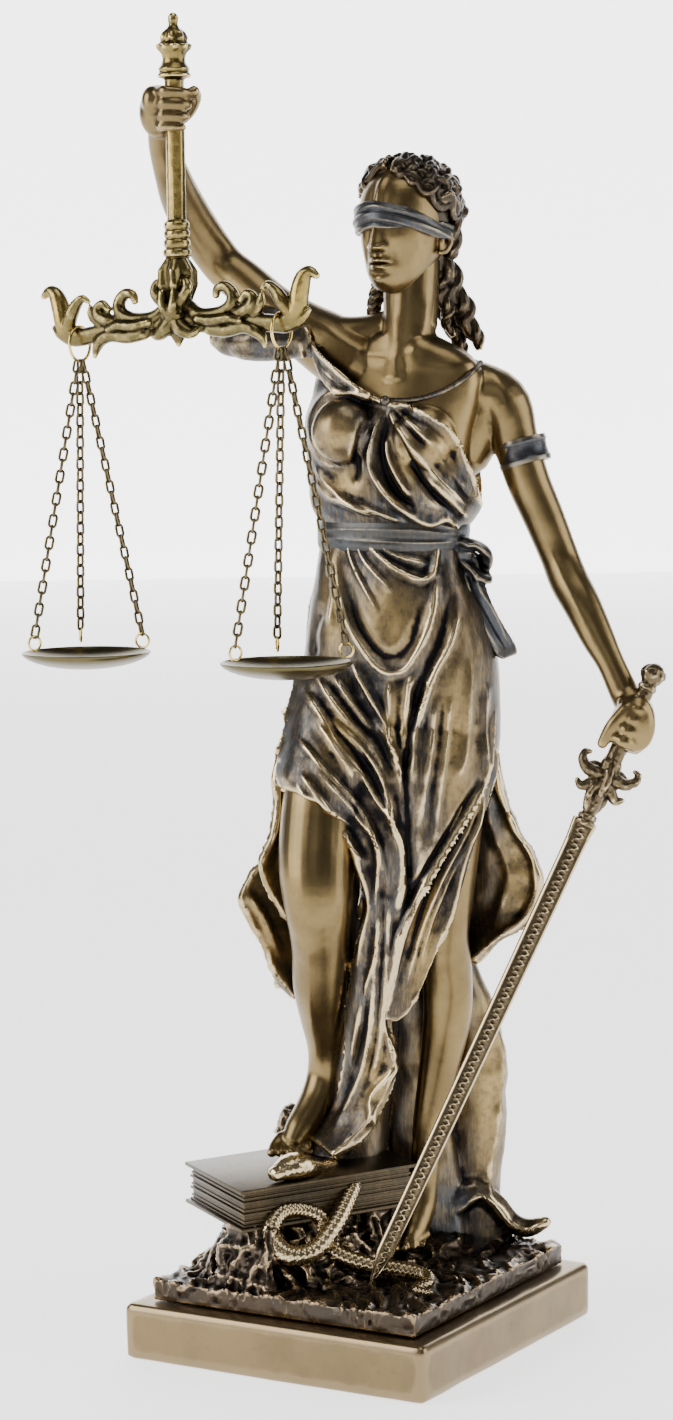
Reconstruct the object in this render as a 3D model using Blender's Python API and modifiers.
"""Lady justice statuette: a cast figure on a square plinth, with a sword and a hanging pair of scales.

The figure is shaped like clay. Limbs, cloth and rock are lofted as closed forms, fused by a voxel
remesh, pressed with the main folds, and thinned to a faceted casting. Lengths are in metres. The
figure's own stations are in parts of its height: across (image right), back and up, turned on the
plinth by FIGURE_TURN. The origin is the centre of the plinth's underside.
"""
import math

import bmesh
import bpy
import numpy as np
from mathutils import Matrix, Vector

MM = 0.001
CLEARANCE = 0.3 * MM
WELD = 0.05 * MM

# The plinth, with its long sides along X and Y
PLINTH_WIDTH = 81.0 * MM
PLINTH_DEPTH = 85.0 * MM
PLINTH_HEIGHT = 13.5 * MM
PLINTH_EDGE = 1.8 * MM
GROUND_INSET = 5.0 * MM
GROUND_HEIGHT = 5.0 * MM

# The figure, from the underside of its ground to the crown of its hair
FIGURE_HEIGHT = 270.0 * MM
FIGURE_PARTS = 270.0
FIGURE_FOOT = 13.8
FIGURE_TURN = math.radians(30.4)
PART = FIGURE_HEIGHT / FIGURE_PARTS
CLAY_GRAIN = 0.95
FIGURE_FACETS = 6400
HEAD_TURN = math.radians(34.0)

# The sword, held in the lowered hand with its tip on the ground
GRIP_RADIUS = 2.0 * MM
GRIP_LENGTH = 21.0 * MM
POMMEL_RADIUS = 2.9 * MM
BLADE_WIDTH = 6.2 * MM
BLADE_THICKNESS = 2.4 * MM
BLADE_TIP_SHARE = 0.12
BLADE_STEPS = 6
COLLAR_LENGTH = 5.0 * MM
SWORD_SIDES = 10
GUARD_SPAN = 19.0 * MM
GUARD_THICKNESS = 4.6 * MM
SWORD_HAND = (64.0, -14.5, 149.0)
SWORD_TIP = (1.8, -26.5, 19.9)

# The scales: a turned handle held in the raised fist, with a scrolled beam below it
HANDLE_RADIUS = 2.2 * MM
HANDLE_TOP = 69.5 * PART
BEAM_HALF_SPAN = 31.2 * MM
BEAM_TILT = math.radians(2.3)
BEAM_TURN = FIGURE_TURN - math.radians(32.6)
BEAM_DROP_BELOW_FIST = 48.0
BEAM_FACETS = 1000
BEAM_GRAIN = 0.42 * MM
FIST_CENTRE = (-39.9, -3.0, 294.0)

# Rings, chains and pans
RING_RADIUS = 4.1 * MM
RING_WIRE = 0.75 * MM
TONGUE_RADIUS = 1.4 * MM
CHAINS_PER_PAN = 3
LINKS_OUTER = 25
LINKS_INNER = 26
LINK_PITCH = 2.6 * MM
LINK_WIDTH = 2.2 * MM
LINK_WIRE = 0.75 * MM
EYE_RADIUS = 1.7 * MM
EYE_WIRE = 0.7 * MM
PAN_RADIUS = 15.2 * MM
PAN_DEPTH = 3.8 * MM
PAN_WALL = 0.9 * MM
PAN_SIDES = 20
PAN_TURN = FIGURE_TURN + math.radians(99.0)

SKIN = ("Satin bronze", (0.36, 0.22, 0.10), 0.34, 0.9)
CLOTH = ("Dark patina bronze", (0.20, 0.16, 0.12), 0.42, 0.85)
GILT = ("Antiqued brass", (0.52, 0.38, 0.12), 0.32, 1.0)
DARK = ("Dark bronze wire", (0.20, 0.15, 0.08), 0.40, 1.0)


def new_material(finish):
    """A Principled material from a name, colour, roughness and metallic value."""
    name, colour, roughness, metallic = finish
    material = bpy.data.materials.get(name)
    if material is None:
        material = bpy.data.materials.new(name)
        material.use_nodes = True
        shader = material.node_tree.nodes["Principled BSDF"]
        shader.inputs["Base Color"].default_value = (*colour, 1.0)
        shader.inputs["Roughness"].default_value = roughness
        shader.inputs["Metallic"].default_value = metallic
    return material


def new_object(name, verts, faces, collection, finish=None):
    """A mesh object in a collection, with its faces pointing out."""
    mesh = bpy.data.meshes.new(name)
    mesh.from_pydata([tuple(v) for v in verts], [], [tuple(f) for f in faces])
    shell = bmesh.new()
    shell.from_mesh(mesh)
    bmesh.ops.recalc_face_normals(shell, faces=shell.faces)
    shell.to_mesh(mesh)
    shell.free()
    obj = bpy.data.objects.new(name, mesh)
    collection.objects.link(obj)
    if finish is not None:
        mesh.materials.append(new_material(finish))
    return obj


def evaluated(obj):
    """Points, polygon corners and point normals of an object with its modifiers."""
    graph = bpy.context.evaluated_depsgraph_get()
    mesh = bpy.data.meshes.new_from_object(obj.evaluated_get(graph))
    points = np.empty(len(mesh.vertices) * 3)
    mesh.vertices.foreach_get("co", points)
    normals = np.empty(len(mesh.vertices) * 3)
    mesh.vertices.foreach_get("normal", normals)
    faces = [tuple(p.vertices) for p in mesh.polygons]
    bpy.data.meshes.remove(mesh)
    return points.reshape(-1, 3), faces, normals.reshape(-1, 3)


def spline(stations, per_span):
    """A Catmull-Rom curve through rows of numbers."""
    rows = np.array(stations, dtype=float)
    padded = np.vstack([2 * rows[0] - rows[1], rows, 2 * rows[-1] - rows[-2]])
    out = []
    for i in range(1, len(padded) - 2):
        a, b, c, d = padded[i - 1:i + 3]
        for t in np.arange(per_span) / per_span:
            out.append(0.5 * (2 * b + (c - a) * t + (2 * a - 5 * b + 4 * c - d) * t ** 2
                              + (3 * b - a - 3 * c + d) * t ** 3))
    out.append(rows[-1])
    return np.array(out)


def unit(vector):
    """A vector of length one."""
    return vector / max(np.linalg.norm(vector), 1e-9)


class Clay:
    """Closed lofts in figure parts, gathered into one mesh."""

    def __init__(self):
        self.points = []
        self.faces = []

    def loft(self, rings):
        """Join rings of equally many points, and close both ends."""
        base = len(self.points)
        count = len(rings[0])
        for ring in rings:
            self.points.extend(ring)
        for i in range(len(rings) - 1):
            for j in range(count):
                k = (j + 1) % count
                low = base + i * count
                self.faces.append((low + j, low + k, low + count + k, low + count + j))
        self.faces.append(tuple(base + j for j in range(count))[::-1])
        last = base + (len(rings) - 1) * count
        self.faces.append(tuple(last + j for j in range(count)))

    def limb(self, stations, sides=12, per_span=4, flat=1.0, side_way=(0.0, 0.0, 1.0)):
        """A round tube through (across, back, up, radius) stations with softened ends."""
        path = spline(stations, per_span)
        centres, radii = path[:, :3], np.abs(path[:, 3])
        tangents = np.gradient(centres, axis=0)
        rings = []
        first = unit(np.cross(tangents[0], np.array(side_way) + 0.01))
        for centre, radius, tangent in zip(centres, radii, tangents):
            tangent = unit(tangent)
            first = unit(first - tangent * np.dot(first, tangent))
            second = np.cross(tangent, first)
            turn = np.arange(sides) * 2 * math.pi / sides
            ring = centre + radius * (np.outer(np.cos(turn), first)
                                      + flat * np.outer(np.sin(turn), second))
            rings.append(ring)
        start, end = unit(tangents[0]), unit(tangents[-1])
        cap_a = centres[0] - start * radii[0] * 0.55 + (rings[0] - centres[0]) * 0.55
        cap_b = centres[-1] + end * radii[-1] * 0.55 + (rings[-1] - centres[-1]) * 0.55
        self.loft([cap_a] + rings + [cap_b])

    def stack(self, levels, yaw, sides=36, per_span=4, power=2.2):
        """Level sections (up, across, back, half width, half depth), turned by yaw."""
        lateral = np.array([math.cos(yaw), -math.sin(yaw), 0.0])
        forward = np.array([-math.sin(yaw), -math.cos(yaw), 0.0])
        turn = np.arange(sides) * 2 * math.pi / sides
        wide = np.sign(np.cos(turn)) * np.abs(np.cos(turn)) ** (2 / power)
        deep = np.sign(np.sin(turn)) * np.abs(np.sin(turn)) ** (2 / power)
        rings = []
        for up, across, back, half_width, half_depth in spline(levels, per_span):
            centre = np.array([across, back, up])
            rings.append(centre + np.outer(wide * half_width, lateral)
                         + np.outer(deep * half_depth, forward))
        self.loft(rings)

    def sheet(self, rows, thickness, across_steps=4, per_span=3):
        """A slab of cloth between rows of (across, back, up) points."""
        lines = np.array([spline(row, across_steps) for row in rows])
        grid = np.stack([spline(lines[:, j], per_span) for j in range(lines.shape[1])], axis=1)
        along = np.gradient(grid, axis=0)
        over = np.gradient(grid, axis=1)
        normal = np.cross(along, over)
        normal /= np.maximum(np.linalg.norm(normal, axis=2, keepdims=True), 1e-9)
        rings = []
        for i in range(grid.shape[0]):
            front = grid[i] - normal[i] * thickness / 2
            rear = grid[i] + normal[i] * thickness / 2
            rings.append(np.vstack([front, rear[::-1]]))
        self.loft(rings)

    def ball(self, centre, radii):
        """A round lump with three half sizes."""
        turn = np.linspace(0.12, math.pi - 0.12, 9)
        around = np.arange(14) * 2 * math.pi / 14
        rings = []
        for t in turn:
            ring = np.stack([radii[0] * math.sin(t) * np.cos(around),
                             radii[1] * math.sin(t) * np.sin(around),
                             np.full(14, -radii[2] * math.cos(t))], axis=1)
            rings.append(ring + np.array(centre))
        self.loft(rings)

    def slab(self, corner, first, second, third):
        """A six-sided block from a corner and three edge vectors."""
        corner, first, second, third = (np.array(v, dtype=float) for v in (corner, first, second, third))
        low = np.array([corner, corner + first, corner + first + second, corner + second])
        self.loft([low, low + third])


def shape_body(clay):
    """Neck, trunk, arms and legs."""
    clay.limb([(13.4, 7, 230, 7.5), (14.2, 8, 240, 6.6), (14.8, 9, 249, 6.6), (15, 11, 258, 7.2)])
    clay.stack([(241, 13, 9, 7, 6), (236.5, 12.5, 10, 17, 8), (232, 12.5, 11, 21.5, 9.5),
                (226, 12, 12, 22.5, 11.5), (218, 10.5, 12, 21.5, 12.8), (208, 10.8, 12, 20.8, 13),
                (198, 10.6, 12.5, 19.2, 12.4), (192, 9.8, 12.5, 17.2, 11.8)], FIGURE_TURN)
    # Raised right arm, behind the beam
    clay.limb([(-2, 17, 236, 8), (-8, 19, 241.5, 7.2), (-19, 24, 250.5, 5.9), (-31.5, 29, 260, 5.1),
               (-36.5, 25, 267.5, 5.4), (-41, 15, 278, 4.6), (-43.3, 8, 285.5, 3.5),
               (-43, 3, 290, 3.9)])
    # Lowered left arm, down to the sword grip
    clay.limb([(29, 9, 229.5, 7.2), (37, 6.5, 225.0, 7.2), (40, 5, 215.5, 5.9), (42.5, 4, 206, 5.3),
               (49.2, 2.5, 188.5, 4.8), (54, -3, 177, 4.6), (60.3, -9, 163.5, 3.5),
               (63.3, -11, 156.5, 3.6)])
    clay.limb([(26, 9, 214, 8), (32, 8, 221, 7.2), (36.5, 6.5, 224.5, 6.6)])
    # Bent right leg, with its foot on the book
    clay.limb([(-3, 12, 152, 11), (-7.5, 3, 133, 9.6), (-9.3, -3.5, 117, 9.2), (-9.2, -6, 107, 8.4),
               (-8.8, -3, 97, 7.2), (-8.8, 3, 86, 6.4), (-8.3, 10, 74, 5.1), (-8, 16, 61, 4.2)])
    clay.limb([(-6.5, 20, 54, 4.6), (-9, 17, 55, 5), (-14, 12, 51.5, 4.6), (-18, 8.5, 48.5, 3.6)], flat=0.9)
    # Straight left leg, with its foot on the ground
    clay.limb([(22, 13, 152, 11), (21.5, 5, 128, 9.6), (20.2, 2, 100, 7.6), (21.6, 5, 88, 6),
               (21.4, 8, 77, 5.6), (18.5, 12, 58, 4.4), (15.6, 15, 38, 3.9)])
    clay.limb([(15.4, 19, 26, 4.6), (14.8, 16, 29, 4.8), (13, 11, 26, 4.4), (11.8, 7, 23.2, 3.6)], flat=0.9)
    for i in range(5):
        side = i - 2
        clay.limb([(-19 + side * 1.9, 9.5 + side * 0.7, 46.6, 1.7),
                   (-22 + side * 2.2, 6.8 + side * 0.9 + abs(side) * 0.5, 45.2, 1.3)], sides=8)
        clay.limb([(11.2 + side * 2.1, 6.5 + side * 0.5, 22.3, 1.7),
                   (10 + side * 2.4, 3.2 + side * 0.7 + abs(side) * 0.5, 21.0, 1.3)], sides=8)


def shape_head(clay):
    """Skull on textbook proportions, hair, blindfold and ringlets."""
    lateral = np.array([math.cos(HEAD_TURN), -math.sin(HEAD_TURN), 0.0])
    forward = np.array([-math.sin(HEAD_TURN), -math.cos(HEAD_TURN), 0.0])
    up = np.array([0.0, 0.0, 1.0])
    centre = np.array([13.9, 10.6, 265.6])

    def at(right, front, height):
        return centre + lateral * right + forward * front + up * height

    levels = []
    for height, front, half_width, half_depth in ((-14.6, 6.4, 2.2, 2.4), (-13.4, 5.6, 4.6, 4.8),
                                                  (-10, 3.6, 7.2, 8.4), (-5, 1.2, 9.1, 11.4),
                                                  (0, 0.2, 10, 12.8), (6, -0.4, 10, 12.8),
                                                  (11, -0.6, 8.4, 10.8), (14.4, -0.8, 5, 6.4)):
        spot = at(0, front, height)
        levels.append((spot[2], spot[0], spot[1], half_width, half_depth))
    clay.stack(levels, HEAD_TURN, sides=24, per_span=3)
    clay.limb([(*at(0, 12.3, 2.5), 0.9), (*at(0, 14.2, -1.5), 1.3), (*at(0, 15.0, -4.2), 1.7)], sides=8)
    clay.limb([(*at(-2.4, 11.5, -8.2), 0.8), (*at(0, 12.6, -8.0), 1.2), (*at(2.4, 11.5, -8.2), 0.8)], sides=8)
    clay.ball(at(0, 10.6, -12.2), (2.6, 2.4, 2.2))
    # Band over the eyes
    band = []
    for k in range(13):
        turn = math.radians(-105 + 17.5 * k)
        drop = -1.0 * math.cos(turn)
        band.append([at(math.sin(turn) * 10.7, math.cos(turn) * 13.5, 5.6 + drop),
                     at(math.sin(turn) * 10.9, math.cos(turn) * 13.9, 2.6 + drop),
                     at(math.sin(turn) * 10.6, math.cos(turn) * 13.5, -0.6 + drop)])
    clay.sheet(band, 2.2, across_steps=2, per_span=1)
    # Cap of hair and rows of curls round the face, the crown and the nape
    clay.ball(at(0, -2.6, 5.4), (11.2, 12.4, 11.6))
    for row in range(4):
        count = 11 - row
        for k in range(count):
            turn = math.radians(-130 + 260 * k / (count - 1))
            lift = 8.4 + 2.6 * row - 1.3 * abs(math.sin(turn)) * (3 - row)
            spread = math.sqrt(max(0.0, 1 - ((lift - 3.5) / 14.5) ** 2))
            out = at(math.sin(turn) * 12.2 * spread, math.cos(turn) * 13.4 * spread - 1.0, lift)
            lean = lateral * math.cos(turn) - forward * math.sin(turn)
            swing = 1.0 if (k + row) % 2 else -1.0
            clay.limb([(*(out - lean * 2.0 - up * swing), 1.3), (*(out + forward * 0.3), 2.0),
                       (*(out + lean * 2.0 + up * swing), 1.2)], sides=8, per_span=2)
    for k in range(5):
        turn = math.radians(115 + 32 * k)
        clay.ball(at(math.sin(turn) * 10.6, math.cos(turn) * 12.2 - 0.5, -1.5), (3.0, 3.0, 4.4))
    # Ringlets down the left side of the neck, and one behind the right
    locks = (((23.5, 12, 262, 3.2), (24.8, 13, 254, 3.5), (25.6, 14, 246, 3.5), (28.6, 14.5, 239, 3.1),
              (33, 14, 233, 1.8)),
             ((20, 16, 262, 3.6), (21.5, 18, 252, 3.8), (22.5, 19, 243, 3.4), (25, 20, 236, 2.4)),
             ((14, 20, 262, 4.2), (14, 21.5, 250, 4.2), (15, 22, 240, 3.2), (16, 21.5, 233, 2.0)),
             ((7, 18, 257, 3.0), (6, 18, 248, 2.8), (6.6, 16.5, 242.5, 1.8)))
    for lock in locks:
        clay.limb(lock, sides=10)


def shape_hands(clay):
    """Two closed hands: fingers round the handle of the scales and round the sword grip."""
    fist = np.array(FIST_CENTRE)
    clay.ball(fist + (-2.6, 3.6, -0.4), (4.4, 4.6, 5.6))
    reach = HANDLE_RADIUS / PART + 1.6
    for k in range(4):
        stations = []
        for step in range(7):
            turn = math.radians(150 + 32 * step)
            radius = 1.75 - 0.08 * abs(step - 3)
            stations.append((fist[0] + reach * math.cos(turn), fist[1] + reach * math.sin(turn),
                             fist[2] + 4.0 - 3.1 * k - 0.12 * step, radius))
        clay.limb(stations, sides=8, per_span=2)
    clay.limb([(*(fist + (1.0, 5.4, -2.0)), 2.2), (*(fist + (4.0, 2.4, 0.8)), 1.9),
               (*(fist + (4.9, -1.6, 2.7)), 1.6)], sides=8)
    hand = np.array(SWORD_HAND)
    tip = np.array(SWORD_TIP)
    axis = unit(tip - hand)
    side = unit(np.cross(axis, (0.0, 1.0, 0.0)))
    front = np.cross(axis, side)
    clay.ball(hand + (1.6, 2.6, 1.6), (4.8, 4.6, 7.4))
    clay.limb([(63.3, -11, 156.5, 3.6), (*(hand + (1.8, 1.4, 2.4)), 4.6), (*(hand + (0.6, 0.6, -3.4)), 3.8)])
    reach = GRIP_RADIUS / PART + 1.5
    for k in range(4):
        stations = []
        for step in range(7):
            turn = math.radians(-60 + 34 * step)
            spot = hand + axis * (-5.0 + 3.1 * k) + reach * (math.cos(turn) * side + math.sin(turn) * front)
            stations.append((*spot, 1.65))
        clay.limb(stations, sides=8, per_span=2)


def shape_gown(clay):
    """Bodice, belt, skirt, panels, flying hems and the drapery behind the legs."""
    # Bodice bagging over the belt, and the breasts under it
    clay.stack([(222, 9, 12.2, 20.6, 13), (216, 9.8, 12, 21.4, 14), (208.7, 11, 12, 22.2, 14.6),
                (201, 10.9, 12.2, 21.6, 14.8), (197, 10.7, 12.3, 20, 13.6)], FIGURE_TURN)
    clay.ball((-1.6, 2.6, 218.4), (7.4, 6.4, 7.6))
    clay.ball((17.4, -2.2, 216.4), (7.6, 6.0, 7.6))
    # Belt, hips and skirt
    clay.stack([(198, 10, 12.4, 19, 12.6), (192, 9.7, 12.4, 18.2, 12.4), (184.8, 9.9, 12.6, 19.4, 14),
                (177.5, 10.8, 13, 22, 16), (165.4, 11.4, 13.6, 24.2, 18), (153.2, 10.2, 14.4, 26, 19.4),
                (143.5, 9.6, 15, 26.6, 20), (134, 10.4, 16, 25.6, 19), (120, 12, 18, 21.5, 16),
                (104, 13, 20.5, 18, 13), (85, 14, 23, 16.5, 10.5), (62, 15, 25, 16, 9.4),
                (40, 16, 25.5, 17, 9.2), (20, 17.5, 25, 19, 10)], FIGURE_TURN)
    # Sleeve over the right shoulder, hanging below the raised arm
    clay.sheet([[(-3, 8, 229), (-9.5, 15, 240.5), (-10, 26, 238)],
                [(-9, 10, 236), (-15, 18, 248), (-16, 30, 242)],
                [(-20, 14, 241), (-22, 21, 248.5), (-24, 31, 241)],
                [(-31, 18, 242.5), (-31, 24, 245), (-31, 29, 241)]], 3.4)
    clay.limb([(-12, 13, 240, 4.2), (-22, 15, 239.5, 4.2), (-29.5, 19, 240.5, 3.6)])
    clay.limb([(-6, 9, 238, 3.6), (-3, 5, 230, 3.4), (3, 1.5, 226.5, 2.2)])
    # Front panel from the hips, between the legs and down on to the book
    clay.sheet([[(-14, 3, 137), (8, -6.5, 137), (31.6, 1, 138)],
                [(-6.5, -3, 127), (8, -8, 128), (27.4, -3, 130)],
                [(-0.4, -6, 118), (8, -9, 119), (20.6, -6, 119)],
                [(1.4, -5, 109), (8, -8, 109), (14.2, -7.5, 109)],
                [(0.2, -2, 99), (5, -6, 99), (10.2, -7.5, 99)],
                [(-1.6, 2, 88), (3.4, -3, 88), (7.8, -5.5, 88)],
                [(-2.6, 6, 78), (2, 0, 78), (6.2, -3.5, 78)],
                [(-3, 9, 66), (3, 3, 66), (8.8, -2, 66.5)],
                [(-6, 11, 54), (-1, 5, 54), (2.6, -2, 53)],
                [(-12, 9, 47), (-8, 4, 46), (-7, -2, 45)]], 3.6)
    clay.stack([(96, 6, 9, 8, 7), (80, 4, 12, 7.4, 8), (64, 2, 14, 7.6, 8), (48, 0, 15, 8.6, 8.5),
                (30, -2, 16, 11, 10)], FIGURE_TURN, sides=20)
    # Second panel over the left thigh, ending in a point
    clay.sheet([[(29.5, 1, 138), (33, 4, 137)], [(22, -4, 123), (27.6, 0, 122)],
                [(13.5, -6, 110), (23.4, -1.5, 108)],
                [(9.4, -5.5, 99), (19.6, -2.5, 98)], [(9.6, -5, 91), (16.6, -3, 90.5)],
                [(10.6, -4.5, 84), (12.4, -4, 81)]], 3.0)
    # Hems blown out behind each leg
    clay.sheet([[(-8, 8, 152), (-14, 8, 155)], [(-9, 10, 144), (-19, 7.5, 142)],
                [(-9, 10, 134), (-17.5, 5, 134)],
                [(-12, 10, 124), (-19.5, 4, 124)], [(-13, 11, 116), (-23.6, 2.5, 115)],
                [(-13, 12, 108), (-27.4, 2.5, 108)], [(-13, 12, 101), (-25.6, 4, 101)],
                [(-13, 12, 93), (-22.6, 6, 92)], [(-12, 12, 86), (-18.4, 8, 84)]], 3.2)
    clay.sheet([[(26, 12, 146), (33, 6, 142)], [(26, 14, 134), (35.2, 8, 133)],
                [(26, 15, 124), (38.6, 9, 122)],
                [(26, 16, 115), (43.6, 10, 115)], [(26, 16, 107), (44.6, 10, 108)],
                [(26, 16, 99), (41, 9, 99)], [(25, 15, 93), (31.6, 9, 94)]], 3.4)
    # Drapery falling behind the left leg to the ground, with a curled hem
    clay.stack([(100, 20, 21, 6.5, 6), (90, 20.5, 21, 6.8, 6), (84, 23, 21.5, 8, 6.5),
                (66, 27.6, 22.5, 9.8, 6.5), (43, 27, 23, 10, 6.5), (28, 25.6, 23.5, 9.6, 7),
                (16, 27, 23, 12, 9)], FIGURE_TURN, sides=20)
    clay.limb([(25, 15, 27, 3.4), (31, 16, 29.5, 3.0), (36, 17, 24.5, 3.2), (40, 15.5, 22.4, 2.6),
               (44.8, 13.5, 24, 2.0)])
    clay.sheet([[(27, 18, 20), (28, 30, 20)], [(37, 15, 22), (38, 24, 21)],
                [(44, 12.5, 23.5), (44, 18, 22.5)]], 3.4)
    # Bow at the belt with two tails
    for loop in (((25, 5, 190.5, 1.8), (29.5, 5, 190, 2.6), (31, 8, 185.5, 2.4), (27.5, 9, 184.5, 1.8)),
                 ((27, 5, 187, 1.6), (30.6, 6, 180, 2.0), (33.5, 8, 173, 2.2), (37.4, 9, 166, 1.2)),
                 ((26.5, 5, 187, 1.6), (30, 4, 178, 2.0), (32, 4, 172, 1.2))):
        clay.limb(loop, sides=8, flat=0.6)
    # Armband
    clay.limb([(40.3, 4.9, 214.5, 6.3), (41.2, 4.5, 211, 6.4)], per_span=1)


def shape_ground(clay):
    """Rough slab, stump, book and snake under the figure."""
    turn = -FIGURE_TURN
    across = np.array([math.cos(turn), math.sin(turn), 0.0])
    back = np.array([-math.sin(turn), math.cos(turn), 0.0])
    half_x = (PLINTH_WIDTH / 2 - GROUND_INSET) / PART
    half_y = (PLINTH_DEPTH / 2 - GROUND_INSET) / PART
    foot = np.array([0.0, 0.0, FIGURE_FOOT - 3.0])
    clay.slab(foot - across * half_x - back * half_y, 2 * half_x * across, 2 * half_y * back,
              (0.0, 0.0, 3.0 + GROUND_HEIGHT / PART))
    # Stump under the book, ridges and stones
    clay.stack([(33, -17, 0, 15, 15), (26, -17.5, -2, 17, 17), (20, -18, -4, 20, 20), (15, -18, -5, 22, 22)],
               FIGURE_TURN, sides=20)
    clay.stack([(34, -3, 15, 11, 9), (24, -2, 15, 13, 11), (15, 2, 15, 18, 14)], FIGURE_TURN, sides=20)
    for k in range(9):
        turn = math.radians(160 + 22 * k)
        clay.limb([(-17 + 14 * math.cos(turn), -3 + 14 * math.sin(turn), 29, 2.6),
                   (-17 + 18 * math.cos(turn), -4 + 18 * math.sin(turn), 23, 2.6),
                   (-17 + 23 * math.cos(turn + 0.1), -4 + 22 * math.sin(turn + 0.1), 18, 2.0)], sides=8)
    # Book, leaning a little to the near left corner
    corner = np.array([-28.2, -25.0, 31.0])
    long_side = np.array([40.8, 21.6, 2.6])
    short_side = np.array([-13.2, 30.8, 1.0])
    clay.slab(corner, long_side, short_side, (0.0, 0.0, 10.0))
    clay.ball((-16, 17, 50.5), (4.5, 5, 4.5))
    # Snake: head on the book, one coil beside it, tail along the ground
    head = [(-22, -8, 43.6, 1.4), (-18.6, -13, 44.6, 2.7), (-15.5, -13.6, 44.4, 2.6),
            (-12, -11, 43.4, 1.9), (-8, -8, 42, 1.9)]
    coil = [(-2, -8, 38.5, 2.0), (-3.6, -12, 36, 2.2), (-6.6, -17, 31.5, 2.3),
            (-11.5, -22.5, 27, 2.4), (-17.5, -24.5, 27, 2.4), (-21.3, -21.5, 31, 2.3),
            (-19.3, -18, 35, 2.2), (-14.5, -15.5, 35.4, 2.0), (-9.5, -14.5, 33, 1.8)]
    tail = [(-9, -14, 29.5, 1.8), (-5, -15.5, 25.6, 2.0), (2, -17.5, 23.6, 2.0),
            (9, -17, 22.6, 1.9), (14.5, -19.5, 21.4, 1.7), (15.5, -25, 20.4, 1.4),
            (12.5, -28.5, 19.8, 1.1), (15.5, -31.5, 19.4, 0.8)]
    for body in (head, coil, tail):
        clay.limb(body, sides=10)


# Main folds seen from the front: half width, height in parts, then (across, up) points of a ridge
FRONT_FOLDS = (
    (1.5, 1.0, ((8, 224), (5.8, 219), (5.2, 211), (6.5, 204), (11.2, 199.5), (18, 197))),
    (1.4, 0.9, ((8.6, 223.5), (8.5, 216), (11.3, 207), (13.3, 202))),
    (1.4, 1.0, ((9.3, 223.5), (15.8, 212.4), (22.7, 205), (28, 200.4))),
    (1.4, 0.9, ((10.3, 224), (17.7, 213.5), (25, 207), (30, 203))),
    (1.6, 1.0, ((-8.3, 209.7), (-3.9, 203.6), (-0.6, 201.8), (5.6, 199.4))),
    (1.5, 1.1, ((-9.2, 242), (-5.8, 236), (-0.7, 230.6), (3.5, 227.7), (8, 225.5))),
    (1.2, 0.8, ((8, 225.6), (17.9, 226), (23, 228.4), (30.7, 235))),
    (1.6, 1.0, ((12.4, 224.3), (20.6, 220.5), (26, 214), (29.5, 206))),
    (1.7, 0.9, ((-6, 186), (-3, 176), (1, 168), (8.3, 160.7))),
    (1.7, 0.9, ((18.1, 173.8), (14, 166), (12, 160))),
    (1.8, 1.1, ((12.3, 160.7), (11.6, 145.3), (10.7, 122))),
    (2.0, -1.6, ((18, 169), (15.4, 155), (14, 145), (13.8, 126), (14.5, 108))),
    (1.8, 1.3, ((-4.2, 163.6), (3.7, 151), (8.6, 141.6), (9, 125))),
    (1.8, 1.3, ((-9, 158), (-2.2, 148), (4, 139.4), (5.6, 130), (8, 114))),
    (1.8, 1.3, ((-11.9, 153.8), (-4.4, 145), (-1.2, 136), (3.6, 126), (6, 108))),
    (1.7, 1.2, ((-13.8, 136), (-9.4, 129.8), (-3, 124), (0.9, 116.5), (2, 110), (0, 100), (-1, 92))),
    (1.6, 1.2, ((31.4, 138), (23.4, 124), (14.8, 110), (10.6, 100), (8, 88.6), (6.4, 79), (8.4, 67.4))),
    (1.5, 1.0, ((30.8, 133), (26, 119), (22.6, 106), (19.6, 98.6), (16, 91), (11.8, 82))),
    (1.8, 1.0, ((24, 178), (25, 160), (26, 148), (31, 141))),
    (1.8, 0.8, ((22, 158), (22, 146), (20, 130))),
)
FOLD_DEPTH = 2.6
BACK_FOLD_COUNT = 13
BACK_FOLD_HEIGHT = 2.0


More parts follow.
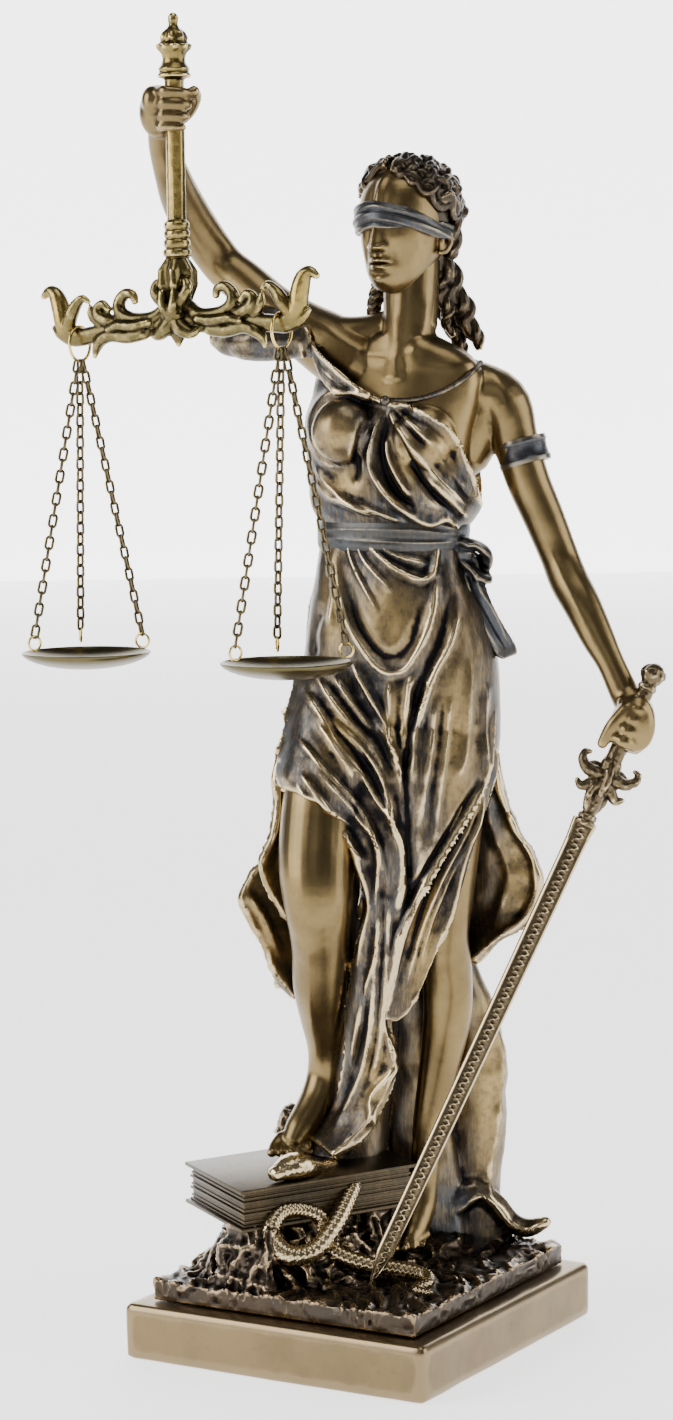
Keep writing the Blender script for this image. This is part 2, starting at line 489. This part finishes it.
def press_folds(points, normals):
    """Raise ridges along the front folds and a fan of folds down the back of the gown."""
    moved = points.copy()
    facing = np.clip((-normals[:, 1] - 0.05) / 0.5, 0.0, 1.0)
    for half_width, height, course in FRONT_FOLDS:
        line = spline(course, 8)
        flat = points[:, (0, 2)]
        near = np.full(len(points), 1e9)
        share = np.zeros(len(points))
        for k, spot in enumerate(line):
            gap = np.hypot(flat[:, 0] - spot[0], flat[:, 1] - spot[1])
            closer = gap < near
            near[closer] = gap[closer]
            share[closer] = k / (len(line) - 1)
        taper = np.clip(np.minimum(share, 1 - share) * 6 + 0.35, 0.0, 1.0)
        ridge = np.exp(-(near / half_width) ** 2) - 0.42 * np.exp(-(near / (2.2 * half_width)) ** 2)
        moved += normals * (height * FOLD_DEPTH * ridge * taper * facing)[:, None]
    lateral = (points[:, 0] - 11) * math.cos(FIGURE_TURN) - (points[:, 1] - 14) * math.sin(FIGURE_TURN)
    depth = (points[:, 0] - 11) * math.sin(FIGURE_TURN) + (points[:, 1] - 14) * math.cos(FIGURE_TURN)
    around = np.arctan2(lateral, depth)
    wave = np.cos(BACK_FOLD_COUNT * around + 0.012 * (points[:, 2] - 100) * np.sin(3 * around))
    rear = np.clip((depth - 2) / 6, 0.0, 1.0) * np.clip((normals[:, 1]) / 0.3, 0.0, 1.0)
    fall = np.clip((188 - points[:, 2]) / 40, 0.0, 1.0) * np.clip((points[:, 2] - 24) / 8, 0.0, 1.0)
    moved += normals * (BACK_FOLD_HEIGHT * wave * rear * fall)[:, None]
    # Broken ground: lumps over the top of the slab
    low = np.clip((27 - points[:, 2]) / 5, 0.0, 1.0) * (points[:, 2] > FIGURE_FOOT + 2.5)
    lumps = (np.sin(points[:, 0] * 0.9) * np.sin(points[:, 1] * 1.1 + 0.6)
             + 0.6 * np.sin(points[:, 0] * 0.47 + points[:, 1] * 0.71))
    moved[:, 2] += 0.8 * low * lumps * np.clip(normals[:, 2], 0.0, 1.0)
    return moved


def figure_to_plinth(points):
    """Figure parts to metres on the plinth."""
    cos, sin = math.cos(FIGURE_TURN), math.sin(FIGURE_TURN)
    rows = np.atleast_2d(np.array(points, dtype=float))
    return np.stack([(cos * rows[:, 0] - sin * rows[:, 1]) * PART,
                     (sin * rows[:, 0] + cos * rows[:, 1]) * PART,
                     (rows[:, 2] - FIGURE_FOOT) * PART + PLINTH_HEIGHT + CLEARANCE], axis=1)


def largest_body(points, faces):
    """Keep the biggest connected shell of a mesh."""
    shell = bmesh.new()
    verts = [shell.verts.new(p) for p in points]
    for face in faces:
        shell.faces.new([verts[i] for i in face])
    seen = set()
    groups = []
    for vert in shell.verts:
        if vert in seen:
            continue
        group, stack = [], [vert]
        seen.add(vert)
        while stack:
            here = stack.pop()
            group.append(here)
            for edge in here.link_edges:
                other = edge.other_vert(here)
                if other not in seen:
                    seen.add(other)
                    stack.append(other)
        groups.append(group)
    groups.sort(key=len)
    for group in groups[:-1]:
        bmesh.ops.delete(shell, geom=group, context='VERTS')
    shell.verts.index_update()
    out = ([tuple(v.co) for v in shell.verts], [tuple(v.index for v in f.verts) for f in shell.faces])
    shell.free()
    return out


def fuse(points, faces, grain, smooth, collection, press=None):
    """Voxel remesh a pile of lofts into one shell and smooth it."""
    rough = new_object("clay", points, faces, collection)
    remesh = rough.modifiers.new("Fuse", 'REMESH')
    remesh.mode = 'VOXEL'
    remesh.voxel_size = grain
    if smooth:
        soften = rough.modifiers.new("Soften", 'SMOOTH')
        soften.factor = 0.5
        soften.iterations = smooth
    bpy.context.view_layer.update()
    points, faces, normals = evaluated(rough)
    mesh = rough.data
    bpy.data.objects.remove(rough)
    bpy.data.meshes.remove(mesh)
    if press is not None:
        points = press(points, normals)
    return largest_body(points, faces)


def thin(obj, facets):
    """Decimate an object to about a number of triangles."""
    modifier = obj.modifiers.new("Thin", 'DECIMATE')
    corners = sum(len(p.vertices) - 2 for p in obj.data.polygons)
    modifier.ratio = min(1.0, facets / corners)
    modifier.use_collapse_triangulate = True


def cut(obj, cutter):
    """Subtract a cutter from an object."""
    modifier = obj.modifiers.new("Cut by " + cutter.name, 'BOOLEAN')
    modifier.operation = 'DIFFERENCE'
    modifier.object = cutter


def hide_cutter(cutter):
    """Show a cutter as wire only."""
    cutter.hide_render = True
    cutter.display_type = 'WIRE'


def along_axis(start, end):
    """Matrix that puts +Z along the way from start to end, at the start."""
    way = Vector(end) - Vector(start)
    turn = way.to_track_quat('Z', 'Y').to_matrix().to_4x4()
    return Matrix.Translation(Vector(start)) @ turn


def build_figure(parts, cutters):
    """The cast figure with its ground, book and snake."""
    clay = Clay()
    for shape in (shape_body, shape_head, shape_hands, shape_gown, shape_ground):
        shape(clay)
    points, faces = fuse(clay.points, clay.faces, CLAY_GRAIN, 2, parts, press_folds)
    figure = new_object("figure", figure_to_plinth(points), faces, parts, CLOTH)
    thin(figure, FIGURE_FACETS)
    floor = box_object("figure_floor_cutter", (0, 0, PLINTH_HEIGHT + CLEARANCE - 10 * PART),
                       (2 * PLINTH_WIDTH, 2 * PLINTH_DEPTH, 20 * PART), cutters)
    cut(figure, floor)
    hide_cutter(floor)
    handle = rod_cutter("handle_bore_cutter", handle_axis(-20 * PART), handle_axis(30 * PART),
                        HANDLE_RADIUS + CLEARANCE, cutters)
    cut(figure, handle)
    hand, tip = sword_line()
    reach = (tip - hand).normalized() * GRIP_LENGTH * 2 / 3
    grip = rod_cutter("grip_bore_cutter", hand - reach, hand + reach,
                      GRIP_RADIUS + CLEARANCE, cutters)
    cut(figure, grip)
    return figure


def box_object(name, centre, size, collection, finish=None):
    """A box at its size and place."""
    shell = bmesh.new()
    bmesh.ops.create_cube(shell, size=1.0)
    bmesh.ops.scale(shell, vec=size, verts=shell.verts)
    mesh = bpy.data.meshes.new(name)
    shell.to_mesh(mesh)
    shell.free()
    obj = bpy.data.objects.new(name, mesh)
    obj.location = centre
    collection.objects.link(obj)
    if finish is not None:
        mesh.materials.append(new_material(finish))
    return obj


def rod_cutter(name, start, end, radius, collection, sides=16):
    """A straight round cutter between two points, whose flats clear the radius."""
    shell = bmesh.new()
    length = (Vector(end) - Vector(start)).length
    reach = radius / math.cos(math.pi / sides)
    bmesh.ops.create_cone(shell, cap_ends=True, segments=sides, radius1=reach, radius2=reach, depth=length)
    bmesh.ops.translate(shell, vec=(0, 0, length / 2), verts=shell.verts)
    mesh = bpy.data.meshes.new(name)
    shell.to_mesh(mesh)
    shell.free()
    obj = bpy.data.objects.new(name, mesh)
    obj.matrix_world = along_axis(start, end)
    collection.objects.link(obj)
    hide_cutter(obj)
    return obj


def handle_axis(height):
    """A point on the handle's axis, at a height from the middle of the fist."""
    spot = Vector(figure_to_plinth([FIST_CENTRE])[0])
    return spot + Vector((0, 0, height))


def sword_line():
    """Hand and tip of the sword in metres; the tip clears the ground."""
    hand, tip = (Vector(p) for p in figure_to_plinth([SWORD_HAND, SWORD_TIP]))
    return hand, tip


def build_plinth(parts):
    """Square block with eased edges."""
    plinth = box_object("plinth", (0, 0, PLINTH_HEIGHT / 2), (PLINTH_WIDTH, PLINTH_DEPTH, PLINTH_HEIGHT),
                        parts, SKIN)
    bevel = plinth.modifiers.new("Eased edges", 'BEVEL')
    bevel.width = PLINTH_EDGE
    bevel.segments = 2
    return plinth


def build_sword(parts):
    """Grip, pommel, guard and blade, cast in one and lofted along the sword's own axis."""
    hand, tip = sword_line()
    length = (tip - hand).length
    half_grip = GRIP_LENGTH / 2
    guard_end = half_grip + GUARD_THICKNESS
    blade_start = guard_end + COLLAR_LENGTH
    tip_start = length - BLADE_TIP_SHARE * length
    grip = GRIP_RADIUS
    sections = [(-half_grip - 1.9 * POMMEL_RADIUS, 0.3 * POMMEL_RADIUS, 0.3 * POMMEL_RADIUS),
                (-half_grip - 1.5 * POMMEL_RADIUS, 0.85 * POMMEL_RADIUS, 0.85 * POMMEL_RADIUS),
                (-half_grip - 0.9 * POMMEL_RADIUS, POMMEL_RADIUS, POMMEL_RADIUS),
                (-half_grip - 0.2 * POMMEL_RADIUS, 0.7 * POMMEL_RADIUS, 0.7 * POMMEL_RADIUS),
                (-half_grip, 0.9 * grip, 0.9 * grip), (-half_grip * 0.4, grip, grip),
                (half_grip * 0.4, grip, grip), (half_grip * 0.92, grip, grip),
                (half_grip, GUARD_SPAN / 2, 1.25 * grip),
                (guard_end, GUARD_SPAN / 2.6, 1.5 * grip),
                (guard_end + 0.04 * COLLAR_LENGTH, 0.75 * BLADE_WIDTH, 0.8 * BLADE_THICKNESS),
                (guard_end + 0.8 * COLLAR_LENGTH, 0.6 * BLADE_WIDTH, 0.7 * BLADE_THICKNESS),
                (blade_start, 0.5 * BLADE_WIDTH, 0.5 * BLADE_THICKNESS)]
    for k in range(1, BLADE_STEPS + 1):
        share = k / BLADE_STEPS
        sections.append((blade_start + (tip_start - blade_start) * share,
                         BLADE_WIDTH * (0.5 - 0.13 * share), BLADE_THICKNESS * (0.5 - 0.08 * share)))
    sections.append((length - 0.1 * BLADE_WIDTH, 0.1 * BLADE_WIDTH, 0.25 * BLADE_THICKNESS))
    sides = SWORD_SIDES
    frame = along_axis(hand, tip)
    flat_way = frame.to_3x3().inverted() @ Vector(
        (math.sin(FIGURE_TURN), -math.cos(FIGURE_TURN), 0.0))
    roll = math.atan2(flat_way.y, flat_way.x) - math.pi / 2
    points, faces = [], []
    for distance, half_width, half_depth in sections:
        for k in range(sides):
            turn = 2 * math.pi * k / sides
            x, y = half_width * math.cos(turn), half_depth * math.sin(turn)
            points.append(frame @ Vector((x * math.cos(roll) - y * math.sin(roll),
                                          x * math.sin(roll) + y * math.cos(roll), distance)))
    for i in range(len(sections) - 1):
        for k in range(sides):
            j = (k + 1) % sides
            faces.append((i * sides + k, i * sides + j, (i + 1) * sides + j, (i + 1) * sides + k))
    faces.append(tuple(range(sides)))
    faces.append(tuple((len(sections) - 1) * sides + k for k in range(sides)))
    return new_object("sword", points, faces, parts, CLOTH)


# Handle profile: radius share of the handle radius, height share of the handle top above the beam
HANDLE_PROFILE = ((0.3, 1.003), (0.54, 0.985), (0.48, 0.965), (0.60, 0.955), (1.44, 0.92), (1.34, 0.905),
                  (1.86, 0.897), (1.80, 0.885), (1.28, 0.865), (1.30, 0.835), (1.70, 0.818), (1.5, 0.806),
                  (1.80, 0.80), (1.76, 0.79), (1.0, 0.785), (1.0, 0.303), (1.42, 0.298), (1.42, 0.27),
                  (1.05, 0.265), (1.42, 0.26), (1.42, 0.235), (1.05, 0.23), (1.6, 0.225), (1.6, 0.20),
                  (1.1, 0.195), (1.66, 0.15), (1.7, 0.09), (1.2, 0.05), (1.5, 0.0), (1.2, -0.04))

# Beam scrolls on one side: (along, up, radius) in shares of the beam's half span
BEAM_SCROLLS = (
    ((0.0, -0.01, 0.10), (0.16, -0.06, 0.085), (0.40, -0.07, 0.075), (0.62, -0.05, 0.08),
     (0.80, -0.09, 0.07)),
    ((0.78, -0.01, 0.068), (0.89, 0.10, 0.068), (1.01, 0.20, 0.072), (1.12, 0.25, 0.055), (1.22, 0.22, 0.042),
     (1.27, 0.16, 0.034)),
    ((0.10, 0.10, 0.06), (0.18, -0.01, 0.06), (0.33, -0.01, 0.06), (0.44, 0.06, 0.06), (0.47, 0.16, 0.058),
     (0.42, 0.22, 0.05)),
    ((0.52, 0.0, 0.05), (0.68, 0.04, 0.055), (0.80, 0.07, 0.052), (0.87, 0.13, 0.05), (0.84, 0.20, 0.04)),
    ((0.34, -0.12, 0.055), (0.55, -0.13, 0.06), (0.70, -0.17, 0.06), (0.74, -0.27, 0.045)),
    ((0.30, 0.10, 0.045), (0.50, 0.09, 0.05), (0.62, 0.03, 0.045)),
    ((0.0, -0.02, 0.08), (0.08, -0.10, 0.06), (0.16, -0.15, 0.045), (0.22, -0.12, 0.04)),
)
TONGUE_SHARE = 0.925


def beam_matrix():
    """Beam frame: X along the beam to the right, Z up, at the middle of the beam."""
    centre = handle_axis(-BEAM_DROP_BELOW_FIST * PART)
    return (Matrix.Translation(centre) @ Matrix.Rotation(BEAM_TURN, 4, 'Z')
            @ Matrix.Rotation(-BEAM_TILT, 4, 'Y'))


def ring_centre(side):
    """Centre of the ring hung over a beam tongue; side is -1 or 1."""
    drop = tongue_drop() + RING_RADIUS - RING_WIRE / 2 - TONGUE_RADIUS - CLEARANCE
    return (beam_matrix() @ Vector((side * TONGUE_SHARE * BEAM_HALF_SPAN, 0, 0))
            - Vector((0, 0, drop)))


def tongue_drop():
    """Depth of the tongue's axis below the beam's axis."""
    return 0.10 * BEAM_HALF_SPAN


def build_scale_beam(parts):
    """Handle and beam, one brass casting."""
    clay = Clay()
    rings = []
    for share, height in HANDLE_PROFILE[::-1]:
        radius, level = share * HANDLE_RADIUS, height * HANDLE_TOP
        rings.append([(radius * math.cos(math.pi * k / 8), radius * math.sin(math.pi * k / 8), level)
                      for k in range(16)])
    upright = Matrix.Rotation(BEAM_TILT, 4, 'Y')
    clay.loft([[tuple(upright @ Vector(p)) for p in ring] for ring in rings])
    span = BEAM_HALF_SPAN
    for side in (-1, 1):
        for scroll in BEAM_SCROLLS:
            stations = [(side * x * span, 0.0, z * span, r * span) for x, z, r in scroll]
            clay.limb(stations, sides=10, per_span=4, side_way=(0.0, 1.0, 0.0))
        tongue = [(side * 0.72 * span, 0, -0.09 * span, 1.1 * TONGUE_RADIUS),
                  (side * TONGUE_SHARE * span, 0, -tongue_drop(), TONGUE_RADIUS),
                  (side * 1.16 * span, 0, -0.085 * span, 0.8 * TONGUE_RADIUS)]
        clay.limb(tongue, sides=10, per_span=3, side_way=(0.0, 1.0, 0.0))
    clay.limb([(0, 0, 0.05 * span, 0.10 * span), (0, 0, -0.12 * span, 0.08 * span),
               (0, 0, -0.2 * span, 0.02 * span)], sides=10)
    points, faces = fuse(clay.points, clay.faces, BEAM_GRAIN, 1, parts)
    beam = new_object("scale_beam", points, faces, parts, GILT)
    beam.matrix_world = beam_matrix()
    thin(beam, BEAM_FACETS)
    return beam


def torus(name, centre, axis, radius, wire, collection, finish, rounds=12, sides=5):
    """A closed ring of wire."""
    points, faces = [], []
    turn = Vector(axis).to_track_quat('Z', 'Y')
    for i in range(rounds):
        around = 2 * math.pi * i / rounds
        for j in range(sides):
            tube = 2 * math.pi * j / sides
            reach = radius + wire / 2 * math.cos(tube)
            spot = Vector((reach * math.cos(around), reach * math.sin(around), wire / 2 * math.sin(tube)))
            points.append(Vector(centre) + turn @ spot)
            faces.append((i * sides + j, ((i + 1) % rounds) * sides + j,
                          ((i + 1) % rounds) * sides + (j + 1) % sides, i * sides + (j + 1) % sides))
    return new_object(name, points, faces, collection, finish)


def link_count(side):
    """Links in each chain of a side: the inner chains hang from the raised end of the beam."""
    return LINKS_OUTER if side < 0 else LINKS_INNER


def chain_line(side, index):
    """Upper and lower end of a chain in metres."""
    centre = ring_centre(side)
    turn = PAN_TURN + 2 * math.pi * index / CHAINS_PER_PAN
    out = Vector((math.cos(turn), math.sin(turn), 0))
    low_ring = centre - Vector((0, 0, RING_RADIUS + RING_WIRE / 2 + CLEARANCE))
    top = low_ring + out * (LINK_WIDTH * 0.62)
    reach = PAN_RADIUS - EYE_RADIUS * 0.2
    run = link_count(side) * LINK_PITCH
    across = reach - LINK_WIDTH * 0.62
    bottom = top + out * across - Vector((0, 0, math.sqrt(run ** 2 - across ** 2)))
    return top, bottom


def build_chain(name, side, index, parts):
    """One chain with its links fused in a row, each turned a quarter from the last."""
    top, bottom = chain_line(side, index)
    frame = along_axis(top, bottom)
    length = (bottom - top).length
    links = link_count(side)
    pitch = length / links
    rings = [(0.0, LINK_WIRE / 2, LINK_WIRE / 2)]
    for k in range(links):
        wide, narrow = LINK_WIDTH / 2, LINK_WIRE / 2
        size = (wide, narrow) if k % 2 == 0 else (narrow, wide)
        rings.append(((k + 0.5) * pitch, *size))
    rings.append((length, LINK_WIRE / 2, LINK_WIRE / 2))
    points, faces = [], []
    for distance, half_x, half_y in rings:
        for x, y in ((half_x, 0), (0, half_y), (-half_x, 0), (0, -half_y)):
            points.append(frame @ Vector((x, y, distance)))
    for i in range(len(rings) - 1):
        for k in range(4):
            j = (k + 1) % 4
            faces.append((i * 4 + k, i * 4 + j, (i + 1) * 4 + j, (i + 1) * 4 + k))
    faces.append((0, 1, 2, 3))
    faces.append(tuple((len(rings) - 1) * 4 + k for k in range(4)))
    return new_object(name, points, faces, parts, DARK)


def pan_centre(side):
    """Centre of the underside of a pan's rim, hung from the lower ends of its chains."""
    lows = [chain_line(side, k)[1] for k in range(CHAINS_PER_PAN)]
    middle = sum(lows, Vector()) / CHAINS_PER_PAN
    return middle - Vector((0, 0, 2 * EYE_RADIUS + EYE_WIRE + 2 * CLEARANCE + PAN_WALL))


def build_pan(name, side, parts):
    """A shallow dished pan with a wall of even thickness."""
    profile = []
    for k in range(4):
        share = 1 - k / 4
        profile.append((PAN_RADIUS * share, -PAN_DEPTH * (1 - share ** 2)))
    mesh = bpy.data.meshes.new(name)
    points = [(r, 0.0, z) for r, z in profile] + [(0.0, 0.0, -PAN_DEPTH)]
    mesh.from_pydata(points, [(i, i + 1) for i in range(len(points) - 1)], [])
    pan = bpy.data.objects.new(name, mesh)
    parts.objects.link(pan)
    pan.location = pan_centre(side)
    screw = pan.modifiers.new("Turn", 'SCREW')
    screw.steps = PAN_SIDES
    screw.render_steps = PAN_SIDES
    screw.use_merge_vertices = True
    screw.merge_threshold = WELD
    wall = pan.modifiers.new("Wall", 'SOLIDIFY')
    wall.thickness = PAN_WALL
    wall.offset = -1
    mesh.materials.append(new_material(GILT))
    return pan


def build_scales(parts):
    """Rings, chains, eyes and pans on both sides of the beam."""
    along = beam_matrix().to_3x3() @ Vector((1, 0, 0))
    for side, hand in ((-1, "right"), (1, "left")):
        torus("beam_ring_" + hand, ring_centre(side), along, RING_RADIUS, RING_WIRE, parts, GILT, rounds=14)
        for k in range(CHAINS_PER_PAN):
            build_chain(f"chain_{hand}_{k + 1}", side, k, parts)
            low = chain_line(side, k)[1]
            out = (low - pan_centre(side))
            out.z = 0
            eye = low - Vector((0, 0, EYE_RADIUS + EYE_WIRE / 2 + CLEARANCE))
            axis = Vector((0, 0, 1)).cross(out)
            torus(f"pan_ring_{hand}_{k + 1}", eye, axis, EYE_RADIUS, EYE_WIRE, parts, GILT, rounds=8, sides=4)
        build_pan("pan_" + hand, side, parts)


def main():
    """Clear the scene and build every part."""
    for obj in list(bpy.data.objects):
        bpy.data.objects.remove(obj)
    parts = bpy.data.collections.new("lady_justice_statue")
    cutters = bpy.data.collections.new("cutters")
    bpy.context.scene.collection.children.link(parts)
    bpy.context.scene.collection.children.link(cutters)
    build_plinth(parts)
    build_figure(parts, cutters)
    build_sword(parts)
    build_scale_beam(parts)
    build_scales(parts)


main()
